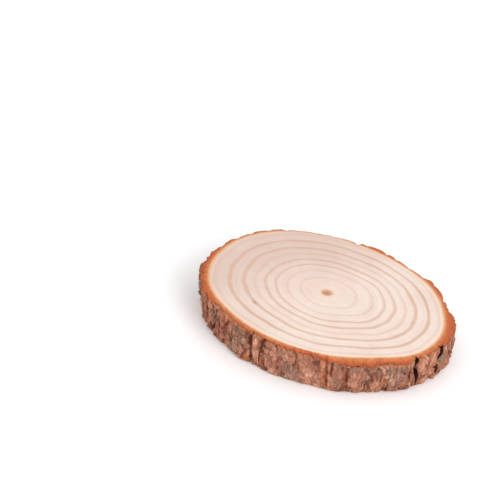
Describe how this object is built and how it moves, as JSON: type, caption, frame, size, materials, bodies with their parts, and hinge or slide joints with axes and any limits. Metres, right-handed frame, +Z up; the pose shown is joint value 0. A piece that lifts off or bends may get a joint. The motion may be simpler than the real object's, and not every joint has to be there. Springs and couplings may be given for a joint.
{
  "type": "wood slice",
  "caption": "Flat round slice sawn across a thin softwood log, with its growth rings on both faces and rough bark round the edge.",
  "frame": {"origin": "middle of the slice's box, on the surface that its underside rests on", "axes": "+Z up, from the underside to the upper sawn face; +X to the right and +Y away, seen from the side where the bark has its long black cracks towards the right"},
  "size_m": [0.0698, 0.0632, 0.01],
  "materials": {
    "wood": "sawn across the grain and lightly sanded, matt, cream with tan growth rings; brown bark on the edge",
    "bark": "rough scaly bark, matt, red-brown with grey and pinkish plates and dark furrows, orange inner bark at the edge"
  },
  "bodies": {
    "root": {"wood_slice": "wood"}
  },
  "joints": []
}
